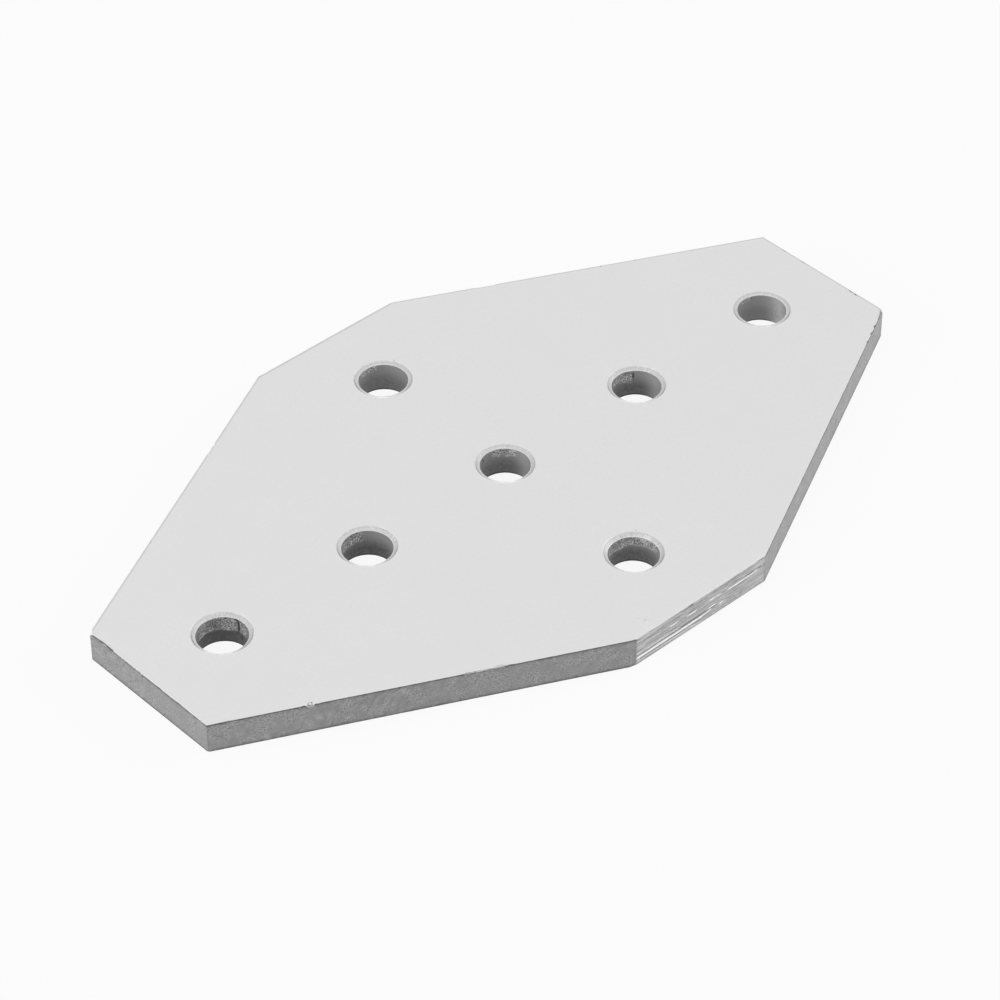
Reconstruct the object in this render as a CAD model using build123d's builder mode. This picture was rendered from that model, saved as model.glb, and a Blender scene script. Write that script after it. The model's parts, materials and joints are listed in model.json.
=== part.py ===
"""Cross joining plate for 30 mm slotted aluminium framing.

The plate is made the way a shop makes it: a length of extruded flat bar with lightly
rounded edges, sawn square at both ends, sawn across its four corners so that it tapers
from the cross arm to the ends, and then drilled on the framing pitch.  It lies flat: the
origin is the middle of the underside, below the centre hole, +X runs along the bar and +Z
up through the plate.  All sizes are in millimetres.
"""
import os
from math import atan, degrees

from build123d import *

# Framing grid that the plate bolts to
pitch = 30.0             # distance between neighbouring screw holes, one profile width
holes_each_end = 2       # screw holes on each side of the centre hole, along the bar
end_margin = 15.0        # last screw hole to the sawn end
side_margin = 15.0       # cross-arm screw hole to the edge of the bar

# Flat bar
thickness = 5.6
bar_edge_radius = 0.4    # the four long edges, as they leave the extrusion die

# Saw cuts
end_flat = 28.6          # what is left of each end once the corners are off
side_flat = 29.0         # what is left of each extruded edge once the corners are off

# Drilling, clearance for M8 screws
bore_diameter = 8.4
mouth_width = 0.75       # cone at each hole's mouth, measured across the face
mouth_depth = 0.45       # cone at each hole's mouth, measured down the hole
burr_break = 0.2         # small chamfer that takes the burr off the underside rims

# Places that follow from the sizes above
plate_length = 2 * (holes_each_end * pitch + end_margin)
bar_width = 2 * (pitch + side_margin)
holes_in_line = 2 * holes_each_end + 1
bore_radius = bore_diameter / 2
mouth_angle = 2 * degrees(atan(mouth_width / mouth_depth))


def hole_centres():
    """Screw hole centres: a line along the bar, and one more hole on each cross arm."""
    along_bar = GridLocations(pitch, pitch, holes_in_line, 1)
    cross_arm = GridLocations(pitch, 2 * pitch, 1, 2)
    return [*along_bar, *cross_arm]


with BuildPart() as joining_plate:
    # Extruded flat bar, drawn as its section and pushed out both ways along X.
    with BuildSketch(Plane.YZ) as bar_section:
        Rectangle(bar_width, thickness, align=(Align.CENTER, Align.MIN))
        fillet(bar_section.vertices(), radius=bar_edge_radius)
    extrude(amount=plate_length / 2, both=True)

    # Saw cuts: two square ends and four slanting corners, drawn as a quarter and mirrored.
    with BuildSketch(Plane.XY) as sawn_outline:
        with BuildLine():
            Polyline(
                (0, bar_width / 2),
                (side_flat / 2, bar_width / 2),
                (plate_length / 2, end_flat / 2),
                (plate_length / 2, 0),
            )
            mirror(about=Plane.YZ)
            mirror(about=Plane.XZ)
        make_face()
    extrude(amount=thickness, mode=Mode.INTERSECT)

    # Screw holes, drilled from the top with a shallow cone at each mouth.
    with Locations(Plane.XY.offset(thickness)):
        with Locations(*hole_centres()):
            CounterSinkHole(
                radius=bore_radius,
                counter_sink_radius=bore_radius + mouth_width,
                counter_sink_angle=mouth_angle,
            )

    # Underside rims, with the drill's burr taken off.
    underside = joining_plate.faces().sort_by(Axis.Z)[0]
    chamfer(underside.inner_wires().edges(), length=burr_break)

joining_plate.part.label = "joining_plate"

os.makedirs("parts", exist_ok=True)
export_step(joining_plate.part, "parts/joining_plate.step")
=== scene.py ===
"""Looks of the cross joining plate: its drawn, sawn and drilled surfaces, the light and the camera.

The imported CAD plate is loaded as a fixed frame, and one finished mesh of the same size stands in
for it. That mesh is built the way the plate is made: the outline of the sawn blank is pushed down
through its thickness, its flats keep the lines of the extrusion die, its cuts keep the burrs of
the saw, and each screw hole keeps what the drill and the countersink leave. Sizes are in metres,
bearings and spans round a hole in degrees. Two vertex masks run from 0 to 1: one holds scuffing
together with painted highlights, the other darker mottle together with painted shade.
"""

import json
import logging
import math
from collections.abc import Sequence
from dataclasses import dataclass
from enum import Enum

import bmesh
import bpy
from bmesh.types import BMEdge, BMesh, BMFace, BMLayerItem, BMVert
from mathutils import Matrix, Vector, noise


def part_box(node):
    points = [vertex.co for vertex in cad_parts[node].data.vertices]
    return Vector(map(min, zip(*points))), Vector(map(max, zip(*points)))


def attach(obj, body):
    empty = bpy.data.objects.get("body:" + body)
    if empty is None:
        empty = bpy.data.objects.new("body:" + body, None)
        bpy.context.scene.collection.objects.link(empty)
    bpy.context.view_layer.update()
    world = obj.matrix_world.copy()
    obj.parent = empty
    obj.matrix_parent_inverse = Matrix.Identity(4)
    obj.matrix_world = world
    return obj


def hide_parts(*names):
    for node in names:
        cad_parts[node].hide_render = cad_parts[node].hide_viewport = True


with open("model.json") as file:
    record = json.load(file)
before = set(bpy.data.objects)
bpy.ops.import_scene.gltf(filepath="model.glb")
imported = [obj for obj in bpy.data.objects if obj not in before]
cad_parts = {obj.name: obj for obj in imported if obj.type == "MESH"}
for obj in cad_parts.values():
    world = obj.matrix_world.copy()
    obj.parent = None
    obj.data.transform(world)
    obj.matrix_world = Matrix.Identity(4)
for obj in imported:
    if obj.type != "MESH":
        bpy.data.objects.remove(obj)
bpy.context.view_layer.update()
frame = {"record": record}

MM = 0.001
TOUCHING = 0.01 * MM
PLATE_NODE = "joining_plate"
UV_MAP = "surface"
# Vertex masks: scuffing together with painted highlights, and darker mottle together with painted
# shade.
WEAR_AND_HIGHLIGHT_LAYER = "wear_and_painted_highlight"
SHADE = "mottle_and_painted_shade"

log = logging.getLogger("joining_plate")


def smooth_step(value: float, low: float, high: float) -> float:
    """Return 0 below low and 1 above high, with an even ease between."""
    share = min(1.0, max(0.0, (value - low) / (high - low)))
    return share * share * (3 - 2 * share)


def bell(offset: float, half_width: float) -> float:
    """Return 1 at no offset, falling to almost nothing at the half width."""
    return math.exp(-3.0 * (offset / half_width) ** 2)


def plateau(offset: float, half_width: float, ease: float) -> float:
    """Return 1 within the half width and 0 beyond it, easing over a short way."""
    return 1 - smooth_step(abs(offset), half_width - ease, half_width + ease)


@dataclass(frozen=True)
class Ripple:
    """Smooth noise from -1 to 1 over a surface, stretched to a length and a width."""

    length: float
    width: float
    seed: float = 0.0

    def at(self, along: float, across: float, shift: float = 0.0) -> float:
        """Return the noise at a point; a shift takes it from another layer of the noise."""
        return noise.noise(Vector((along / self.length, across / self.width, self.seed + shift)))


def parts_of(made: dict, kind: type) -> list:
    """Return the vertices, edges or faces, named by their type, that a bmesh operator made."""
    return [item for item in made["geom"] if isinstance(item, kind)]


def add_object(name: str, data: bpy.types.ID) -> bpy.types.Object:
    """Put a new object with that mesh, lamp or camera in the scene, and return it."""
    holder = bpy.data.objects.new(name, data)
    bpy.context.scene.collection.objects.link(holder)
    return holder


# ---------------------------------------------------------------------------------------------
# Names for the plate's sides, surfaces and marks
# ---------------------------------------------------------------------------------------------


class Side(Enum):
    """The eight edges of the outline, anticlockwise seen from above."""

    LEFT_END = 0
    FRONT_LEFT_CUT = 1
    NEAR_FLAT = 2
    FRONT_RIGHT_CUT = 3
    RIGHT_END = 4
    BACK_RIGHT_CUT = 5
    FAR_FLAT = 6
    BACK_LEFT_CUT = 7

    @property
    def drawn(self) -> bool:
        """Whether this side is an edge of the extruded bar and not a saw cut."""
        return self in (Side.NEAR_FLAT, Side.FAR_FLAT)

    @property
    def rubbed_and_highlit(self) -> bool:
        """Whether this side gets a painted highlight along its upper edge on the top face; the other
        sides get a painted dark line there.
        """
        return self.value <= Side.FRONT_RIGHT_CUT.value


class Surface(Enum):
    """The surfaces that the plate shows, in the order of its material slots."""

    SATIN_FACE = 0
    DRAWN_FLAT = 1
    SAWN_CUT = 2
    DRILLED_WALL = 3
    TORN_WALL_AND_FOOT_SHADE = 4
    COUNTERSINK = 5


BAR_SIDES = (Surface.DRAWN_FLAT, Surface.SAWN_CUT)


class MarkKind(Enum):
    """What the saw or a knock leaves at an upper edge."""

    NICK = "a bite out of the edge"
    ROLL = "metal rolled down over the cut"
    CURL = "a curled-up burr with a ring round it"


@dataclass(frozen=True)
class Touch:
    """What a mark does to a point: its move out and down, its scuffing with painted highlight, and its
    painted shade.
    """

    out: float = 0.0
    down: float = 0.0
    wear_and_highlight: float = 0.0
    shade: float = 0.0


# ---------------------------------------------------------------------------------------------
# The blank: outline, rows up its sides, relief
# ---------------------------------------------------------------------------------------------


@dataclass
class Outline:
    """Outline of the sawn blank seen from above, one straight line for each side."""

    half_length: float
    half_width: float
    end_flat: float = 28.6 * MM
    side_flat: float = 29.0 * MM
    saw_slip: float = 0.45 * MM
    end_slip: float = 0.2 * MM

    def __post_init__(self) -> None:
        """Work out corners, directions and lengths, from the left end's far corner on."""
        x, y = self.half_length, self.half_width
        a, b = self.end_flat / 2, self.side_flat / 2
        first, third = (-x, a - self.end_slip), (self.saw_slip - b, -y)
        places = [first, (-x, -a), third, (b, -y), (x, -a), (x, a), (b, y), (-b, y)]
        self.corners = [Vector(place) for place in places]
        spans = [self.corners[(k + 1) % 8] - self.corners[k] for k in range(8)]
        self.lengths = [span.length for span in spans]
        self.along = [span.normalized() for span in spans]
        self.outward = [Vector((way.y, -way.x)) for way in self.along]
        self.starts = [sum(self.lengths[:k]) for k in range(8)]
        self.shifts = [self.corner_shifts(k) for k in range(8)]

    def corner_shifts(self, k: int) -> tuple[Vector, Vector]:
        """Return how corner k moves for each metre that the side before it, or after it, moves in."""
        for_before = self.along[k] / -self.outward[k - 1].dot(self.along[k])
        for_after = self.along[k - 1] / -self.outward[k].dot(self.along[k - 1])
        return for_before, for_after

    def corner(self, index: int, inset_before: float, inset_after: float) -> Vector:
        """Find a corner once the two sides that meet there have moved inward.

        Args:
            index: The corner, which is the first one of the side of that number.
            inset_before: How far the side before the corner has moved.
            inset_after: How far the side after the corner has moved.

        Returns:
            The corner's new place.
        """
        for_before, for_after = self.shifts[index % 8]
        return self.corners[index % 8] + for_before * inset_before + for_after * inset_after

    def point(self, side: Side, share: float, insets: tuple[float, float, float]) -> Vector:
        """Find a place on a side once it and its neighbours have moved inward.

        Args:
            side: The side.
            share: The share of the side passed from its first corner.
            insets: How far the side before it, the side itself and the one after have moved.

        Returns:
            The place.
        """
        before, own, after = insets
        first = self.corner(side.value, before, own)
        last = self.corner(side.value + 1, own, after)
        return first.lerp(last, share)

    def locate(self, place: Vector) -> tuple[Side, float, float]:
        """Find the side that a point of the plain blank belongs to.

        Args:
            place: A point on or inside the outline.

        Returns:
            The nearest side, the share of that side passed from its first corner, and how far
            inside the outline the point lies.
        """
        flat = Vector((place.x, place.y))
        inside = [(corner - flat).dot(way) for corner, way in zip(self.corners, self.outward)]
        depth = min(inside)
        k = inside.index(depth)
        first, last = self.corner(k, depth, depth), self.corner(k + 1, depth, depth)
        share = (flat - first).dot(self.along[k]) / (last - first).length
        return Side(k), min(1.0, max(0.0, share)), max(0.0, depth)

    def unrolled(self, side: Side, place: Vector) -> tuple[float, float]:
        """Return a point's distance round the outline along that side, and its height."""
        along = (place.xy - self.corners[side.value]).dot(self.along[side.value])
        return self.starts[side.value] + along, place.z


@dataclass(frozen=True)
class EdgeMark:
    """One burr or nick at the upper edge of a side."""

    side: Side
    kind: MarkKind
    along: float
    length: float
    height: float
    depth: float = 0.0
    below: float = 0.0
    strength: float = 1.0
    crumbs: Ripple = Ripple(0.45 * MM, 0.4 * MM, 4.2)
    roll_ease: float = 0.25 * MM
    bright_ease: float = 0.2 * MM
    bright_rim: tuple[float, float] = (-0.16 * MM, -0.03 * MM)
    curl_ring: float = 0.52
    long_mark: float = 4.5 * MM

    def touch(self, along: float, below: float) -> Touch:
        """Work out what the mark does to a point.

        Args:
            along: The point's distance from the side's first corner.
            below: Its distance below the edge, or minus its distance in over the top face.

        Returns:
            The point's move, its scuffing with painted highlight, and its painted shade.
        """
        offset, drop = along - self.along, below - self.below
        # A roll: a chamfer brightened as scuffed metal with a painted highlight.
        if self.kind is MarkKind.ROLL:
            crumbs = 0.75 + 0.5 * self.crumbs.at(along, below, self.along / MM)
            height = self.height * crumbs * plateau(offset, self.length / 2, self.roll_ease)
            chamfer = max(0.0, height - max(0.0, drop))
            worn_and_highlit = plateau(offset, self.length / 2, self.bright_ease)
            worn_and_highlit *= plateau(drop, height + TOUCHING, 0.1 * MM) * smooth_step(drop, *self.bright_rim)
            return Touch(out=-chamfer, wear_and_highlight=self.strength * worn_and_highlit * crumbs)
        # A curl: a bright centre and outer ring, scuffing with painted highlight, round a shallow dip
        # with painted shade.
        if self.kind is MarkKind.CURL:
            reach = math.hypot(2 * offset / self.length, 2 * drop / self.height)
            ring = bell(reach - self.curl_ring, 0.3)
            bright = bell(reach, 0.34) + 0.9 * bell(reach - 0.98, 0.3)
            return Touch(
                self.depth * bright, self.depth * ring, self.strength * bright, self.strength * ring
            )
        # A nick: a bite with painted shade in it.
        bite = bell(offset, self.length / 2) * bell(drop, self.height)
        return Touch(-self.depth * bite, 0.5 * self.depth * bite, 0.0, self.strength * bite)

    def near(self, along: float, below: float) -> bool:
        """Whether a point is so close to a short mark that it needs a finer mesh there."""
        beside = abs(along - self.along) < 0.6 * self.length + 0.3 * MM
        close = beside and abs(below - self.below) < 1.1 * self.height + 0.15 * MM
        return close and self.length < self.long_mark


@dataclass(frozen=True)
class DieLine:
    """One groove or ridge that the extrusion die drew along a flat, whose depth may drift.

    A groove has a positive depth and gets painted shade; a ridge has a negative one and gets a painted
    highlight.
    """

    side: Side
    first_below: float
    last_below: float
    first: float
    last: float
    width: float
    depth: float
    strength: float = 1.0
    end_ease: float = 0.3 * MM

    def weight(self, along: float, below: float) -> float:
        """Return how fully the line shows at a point of its side, from 0 to 1."""
        passed = (along - self.first) / (self.last - self.first)
        middle = self.first_below + (self.last_below - self.first_below) * passed
        half = (self.last - self.first) / 2
        ends = plateau(along - self.first - half, half, self.end_ease)
        return ends * bell(below - middle, self.width)


@dataclass(frozen=True)
class CornerKnock:
    """A small flat where an upright corner was knocked, at its top or its foot."""

    corner: int
    upper: bool
    size: float
    wear_and_highlight: float = 0.6
    lean: float = 0.9

    def aim(self, outline: Outline, thickness: float) -> tuple[Vector, Vector]:
        """Return the sharp corner's place and the way the knock faces."""
        flat = outline.outward[self.corner - 1] + outline.outward[self.corner]
        lean = self.lean if self.upper else -self.lean
        facing = Vector((*flat.normalized(), lean)).normalized()
        return Vector((*outline.corners[self.corner], thickness if self.upper else 0.0)), facing

    def depth_at(self, place: Vector, outline: Outline, thickness: float) -> float:
        """Return how far a point stands out beyond the knocked flat, or 0."""
        corner, facing = self.aim(outline, thickness)
        return max(0.0, (place - corner).dot(facing) + self.size)


NICK, ROLL, CURL = MarkKind.NICK, MarkKind.ROLL, MarkKind.CURL


def mark(
    side: Side,
    kind: MarkKind,
    along: float,
    length: float,
    height: float,
    depth: float = 0.0,
    below: float = 0.0,
    strength: float = 1.0,
) -> EdgeMark:
    """Make an edge mark from sizes in millimetres.

    Args:
        side: The side whose upper edge carries it.
        kind: What it is.
        along: Its middle's distance from the side's first corner.
        length: Its length along the edge.
        height: Its height below the edge, or across it.
        depth: How deep it bites, or how far it stands out.
        below: How far below the edge its middle lies, or minus how far in over the face.
        strength: How strong its painted shade, and its scuffing with painted highlight, show.

    Returns:
        The mark, in metres.
    """
    sizes = (along, length, height, depth, below)
    return EdgeMark(side, kind, *(size * MM for size in sizes), strength)


# Kind, place along the edge, length, height, depth, place below the edge, strength; in mm.
MARK_SIZES = {
    Side.LEFT_END: (
        (NICK, 3.6, 7.0, 0.5, 0.3, 0.0, 0.25),
        (NICK, 5.4, 0.9, 0.25, 0.06, 0.0, 0.4),
        (CURL, 8.3, 0.8, 0.6, 0.07, 0.05, 0.7),
        (CURL, 12.1, 1.3, 0.8, 0.09, 0.05, 0.6),
        (NICK, 15.5, 0.8, 0.25, 0.07, 0.25, 0.6),
        (NICK, 17.0, 1.6, 0.22, 0.08, 0.1, 0.6),
        (NICK, 21.8, 2.4, 0.2, 0.05, 0.1, 0.4),
        (CURL, 27.0, 0.8, 0.6, 0.07, 0.05, 0.6),
    ),
    Side.FRONT_LEFT_CUT: (
        (ROLL, 8.75, 0.25, 0.22),
        (NICK, 3.0, 5.0, 0.25, 0.03, 0.1, 0.6),
        (CURL, 16.25, 1.3, 1.2, 0.12, -0.2),
        (ROLL, 16.35, 0.6, 0.22),
        (NICK, 15.3, 0.9, 0.3, 0.08, 0.15),
        (NICK, 14.6, 0.7, 0.25, 0.05, 0.6, 0.6),
        (NICK, 17.1, 0.7, 0.25, 0.06, 0.2, 0.8),
        (ROLL, 17.5, 0.7, 0.14),
        (ROLL, 42.1, 3.0, 0.26, 0.0, 0.0, 0.65),
        (ROLL, 45.3, 3.8, 0.20, 0.0, 0.0, 0.6),
        (NICK, 41.2, 0.5, 0.2, 0.06, 0.1, 0.8),
        (NICK, 42.3, 0.5, 0.2, 0.06, 0.2, 0.8),
        (NICK, 43.5, 0.6, 0.2, 0.05, 0.3, 0.7),
        (NICK, 46.8, 2.6, 0.14, 0.04, -0.12, 0.9),
        (NICK, 48.2, 1.4, 0.2, 0.07, 0.0, 0.5),
        (NICK, 50.8, 0.8, 0.35, 0.04, 3.5, 0.45),
        (NICK, 53.4, 0.7, 0.35, 0.04, 4.0, 0.45),
        (NICK, 55.1, 0.7, 0.3, 0.04, 1.7, 0.4),
    ),
    Side.NEAR_FLAT: ((NICK, 12.0, 1.7, 0.22, 0.06, 0.3, 0.8),),
    Side.FRONT_RIGHT_CUT: (
        (NICK, 63.0, 1.0, 0.3, 0.15, 0.0),
        (NICK, 60.9, 1.0, 0.28, 0.12, 0.0),
        (NICK, 58.4, 1.0, 0.28, 0.11, 0.05, 0.9),
        (NICK, 68.8, 10.0, 0.7, 0.36, 0.0, 0.45),
    ),
    Side.RIGHT_END: (
        (NICK, 7.2, 1.4, 0.3, 0.1, -0.1, 0.9),
        (NICK, 6.1, 0.9, 0.3, 0.1, -0.2, 0.8),
        (NICK, 18.7, 2.6, 0.22, 0.05, -0.1, 0.4),
        (NICK, 23.4, 2.0, 0.2, 0.05, -0.1, 0.35),
    ),
    Side.BACK_LEFT_CUT: (
        (NICK, 45.0, 1.2, 0.22, 0.05, -0.05, 0.35),
        (ROLL, 20.0, 3.0, 0.16),
    ),
    Side.BACK_RIGHT_CUT: (
        (CURL, 30.0, 1.0, 0.8, 0.09, 0.05, 0.7),
        (ROLL, 51.0, 4.0, 0.2),
    ),
}
EDGE_MARKS = tuple(mark(side, *sizes) for side, rows in MARK_SIZES.items() for sizes in rows)


def die_line(
    side: Side,
    below: Sequence[float],
    span: Sequence[float],
    width: float,
    depth: float,
    strength: float = 1.0,
) -> DieLine:
    """Make a die line from sizes in millimetres.

    Args:
        side: The flat that carries it.
        below: Its distance under the upper edge at its first and its last end.
        span: Where it starts and ends along the flat.
        width: Its half width.
        depth: How deep it is, or minus how far it stands up.
        strength: How strong the painted shade of a groove, and the painted highlight of a ridge, show.

    Returns:
        The line, in metres.
    """
    sizes = (*below, *span, width, depth)
    return DieLine(side, *(size * MM for size in sizes), strength)


# Distances under the upper edge, span along the flat, half width, depth, strength; in mm.
LINE_SIZES = {
    Side.NEAR_FLAT: (
        ((3.68, 3.66), (0.0, 14.3), 0.17, 0.08),
        ((4.16, 4.14), (0.0, 14.4), 0.25, -0.04),
        ((4.10, 3.86), (14.4, 16.5), 0.16, -0.04, 0.8),
        ((3.58, 3.58), (14.4, 15.4), 0.15, 0.06, 0.9),
        ((3.34, 3.30), (16.1, 17.4), 0.16, -0.04),
        ((3.68, 3.66), (16.2, 17.5), 0.15, 0.07),
        ((3.42, 3.44), (0.0, 9.6), 0.13, -0.03, 0.3),
        ((4.52, 4.50), (0.0, 16.0), 0.15, 0.04, 0.55),
        ((4.80, 4.80), (0.0, 13.0), 0.13, -0.03, 0.25),
        ((2.02, 1.92), (20.3, 26.7), 0.15, -0.04),
        ((1.68, 1.64), (24.3, 26.1), 0.14, 0.07),
        ((1.76, 1.72), (20.8, 24.0), 0.13, 0.03, 0.35),
        ((1.60, 1.60), (27.1, 27.6), 0.2, 0.06),
        ((2.08, 2.06), (11.4, 13.0), 0.15, -0.04, 0.85),
        ((1.68, 1.68), (11.4, 13.0), 0.14, 0.06, 0.9),
        ((1.86, 1.84), (16.3, 18.6), 0.14, -0.03, 0.6),
        ((1.96, 1.94), (7.4, 9.2), 0.13, -0.03, 0.55),
        ((1.70, 1.70), (0.2, 1.6), 0.14, 0.04, 0.6),
        ((1.30, 1.28), (1.5, 6.5), 0.12, 0.03, 0.35),
        ((3.80, 3.76), (18.4, 19.3), 0.14, -0.03, 0.7),
    ),
    Side.FRONT_LEFT_CUT: (((4.6, 1.0), (24.5, 26.4), 0.3, 0.04, 0.35),),
    Side.FAR_FLAT: (
        ((3.90, 3.80), (3.0, 29.0), 0.19, 0.08),
        ((4.30, 4.20), (3.0, 29.0), 0.17, -0.04, 0.9),
        ((1.70, 1.76), (0.0, 17.0), 0.15, 0.05, 0.8),
        ((2.10, 2.14), (2.0, 15.0), 0.13, -0.03, 0.6),
    ),
}
DIE_LINES = tuple(die_line(side, *sizes) for side, rows in LINE_SIZES.items() for sizes in rows)

CORNER_KNOCKS = (
    CornerKnock(corner=0, upper=True, size=0.34 * MM, wear_and_highlight=0.4),
    CornerKnock(corner=1, upper=False, size=0.13 * MM, wear_and_highlight=0.35),
    CornerKnock(corner=2, upper=False, size=0.2 * MM, wear_and_highlight=0.1),
    CornerKnock(corner=6, upper=True, size=0.18 * MM),
)


@dataclass
class Blank:
    """Bar with its corners sawn off: rows down its sides, and a narrow band on each face."""

    outline: Outline
    thickness: float
    bar_radius: float = 0.32 * MM
    sawn_break: float = 0.03 * MM
    corner_break: float = 0.04 * MM
    corner_reach: float = 0.15 * MM
    tooling_ease: float = 0.5 * MM
    round_steps: int = 8
    row: float = 0.32 * MM
    column: float = 0.42 * MM
    mark_cuts: int = 2
    flat_cuts: int = 3
    bands: Sequence[float] = (0.14 * MM, 0.4 * MM, 0.8 * MM)
    knock_margin: float = 1.3 * MM
    faintest: float = 0.01
    saw_lean: float = 0.45
    saw_wave: float = 0.02 * MM
    saw_teeth: Ripple = Ripple(1.1 * MM, 5 * MM, 1.7)
    saw_sway: Ripple = Ripple(4.5 * MM, 2.5 * MM, 9.3)
    mottle: float = 0.3
    mottle_grain: Ripple = Ripple(0.8 * MM, 0.7 * MM, 21.7)
    mottle_patch: Ripple = Ripple(9 * MM, 4 * MM, 12.4)
    die_skin: float = 0.04 * MM
    die_wave: float = 0.02 * MM
    die_streak: Ripple = Ripple(18 * MM, 0.22 * MM, 5.1)
    line_break: Ripple = Ripple(0.9 * MM, 1 * MM)
    edge_mottle: Ripple = Ripple(0.55 * MM, 0.35 * MM, 2.9)
    edge_mottle_reach: float = 1.1 * MM
    edge_line: float = 0.13 * MM
    edge_line_width: float = 0.26 * MM
    ragged: float = 0.045 * MM
    ragged_teeth: Ripple = Ripple(0.9 * MM, 1.0 * MM, 31.0)
    marks: Sequence[EdgeMark] = EDGE_MARKS
    die_lines: Sequence[DieLine] = DIE_LINES
    knocks: Sequence[CornerKnock] = CORNER_KNOCKS

    def heights(self) -> list[float]:
        """Return the rows' heights from the top down, close together where edges are round."""
        angles = [k * math.pi / 2 / self.round_steps for k in range(self.round_steps + 1)]
        curve = [self.bar_radius * (1 - math.cos(angle)) for angle in angles]
        middle = self.thickness - 2 * self.bar_radius
        steps = round(middle / self.row)
        straight = [self.bar_radius + middle * k / steps for k in range(1, steps)]
        rising = curve + straight + [self.thickness - depth for depth in reversed(curve)]
        return rising[::-1]

    def inset(self, side: Side, height: float) -> float:
        """Return how far a side stands back at a height, for its rounded or broken edges."""
        edge = max(0.0, min(height, self.thickness - height))
        if not side.drawn:
            return max(0.0, self.sawn_break - edge)
        if edge >= self.bar_radius:
            return 0.0
        return self.bar_radius - math.sqrt(self.bar_radius**2 - (self.bar_radius - edge) ** 2)

    def build(
        self, bm: BMesh, wear_and_highlight: BMLayerItem, shade: BMLayerItem
    ) -> tuple[list[BMEdge], list[BMEdge]]:
        """Build the sides and the face bands, shape them and note their scuffing, painted highlights
        and painted shade.

        Args:
            bm: The empty mesh to build in.
            wear_and_highlight: The vertex layer that holds scuffing and painted highlights.
            shade: The vertex layer that holds darker mottle and painted shade.

        Returns:
            The innermost ring of edges on the top, and the one on the underside.
        """
        corners = [bm.verts.new((*place, self.thickness)) for place in self.outline.corners]
        lines = [bm.edges.new((corners[k], corners[(k + 1) % 8])) for k in range(8)]
        for line, length in zip(lines, self.outline.lengths):
            bmesh.ops.subdivide_edges(bm, edges=[line], cuts=round(length / self.column) - 1)
        top = bottom = bm.edges[:]
        for height in self.heights()[1:]:
            made = bmesh.ops.extrude_edge_only(bm, edges=bottom)
            bottom = parts_of(made, BMEdge)
            for vert in parts_of(made, BMVert):
                vert.co.z = height
        rings = tuple(self.band(bm, loop) for loop in (top, bottom))
        self.refine(bm)
        self.sort_surfaces(bm)
        for vert in bm.verts:
            vert.co, vert[wear_and_highlight], vert[shade] = self.finished(vert.co)
        return rings

    def band(self, bm: BMesh, loop: list[BMEdge]) -> list[BMEdge]:
        """Draw narrow rings in from an edge loop, so that a dent at the edge stays at the edge.

        Args:
            bm: The mesh to build in.
            loop: The outer loop, on the top or the underside.

        Returns:
            The innermost ring's edges.
        """
        for inside in self.bands:
            made = bmesh.ops.extrude_edge_only(bm, edges=loop)
            loop = parts_of(made, BMEdge)
            for vert in parts_of(made, BMVert):
                side, share, _ = self.outline.locate(vert.co)
                vert.co.xy = self.outline.point(side, share, (inside, inside, inside))
        return loop

    def needs_finer(self, place: Vector, knocked: Sequence[Vector]) -> bool:
        """Say whether a mark, a die line on a sawn side or a knocked corner is close by.

        Args:
            place: A point on the plain blank.
            knocked: The places of the knocked corners.

        Returns:
            Whether the mesh is cut finer there.
        """
        side, share, inside = self.outline.locate(place)
        along = share * self.outline.lengths[side.value]
        below = -inside if inside > TOUCHING else self.thickness - place.z
        if any(each.side is side and each.near(along, below) for each in self.marks):
            return True
        lines = () if side.drawn else [each for each in self.die_lines if each.side is side]
        if any(each.weight(along, below) > self.faintest for each in lines):
            return True
        return any((place - corner).length < self.knock_margin for corner in knocked)

    def refine(self, bm: BMesh) -> None:
        """Cut the mesh finer down the drawn flats, and round each edge mark and knocked corner."""
        fine: set[BMEdge] = set()
        innermost = self.bands[-1] - TOUCHING
        knocked = [knock.aim(self.outline, self.thickness)[0] for knock in self.knocks]
        for face in bm.faces:
            if self.needs_finer(face.calc_center_median(), knocked):
                fine.update(
                    edge
                    for edge in face.edges
                    if min(self.outline.locate(vert.co)[2] for vert in edge.verts) < innermost
                )
        upright = [
            edge
            for edge in bm.edges
            if edge not in fine
            and abs(edge.verts[0].co.z - edge.verts[1].co.z) > 0.5 * self.row
            and self.outline.half_width - abs(edge.verts[0].co.y) < TOUCHING
        ]
        marked = [edge for edge in bm.edges if edge in fine]
        for edges, cuts in ((upright, self.flat_cuts), (marked, self.mark_cuts)):
            bmesh.ops.subdivide_edges(bm, edges=edges, cuts=cuts, use_grid_fill=True)

    def sort_surfaces(self, bm: BMesh) -> None:
        """Give each face of the plain blank the surface that its side has."""
        for face in bm.faces:
            side, _, inside = self.outline.locate(face.calc_center_median())
            face.smooth = True
            if inside < TOUCHING:
                surface = Surface.DRAWN_FLAT if side.drawn else Surface.SAWN_CUT
                face.material_index = surface.value

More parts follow.
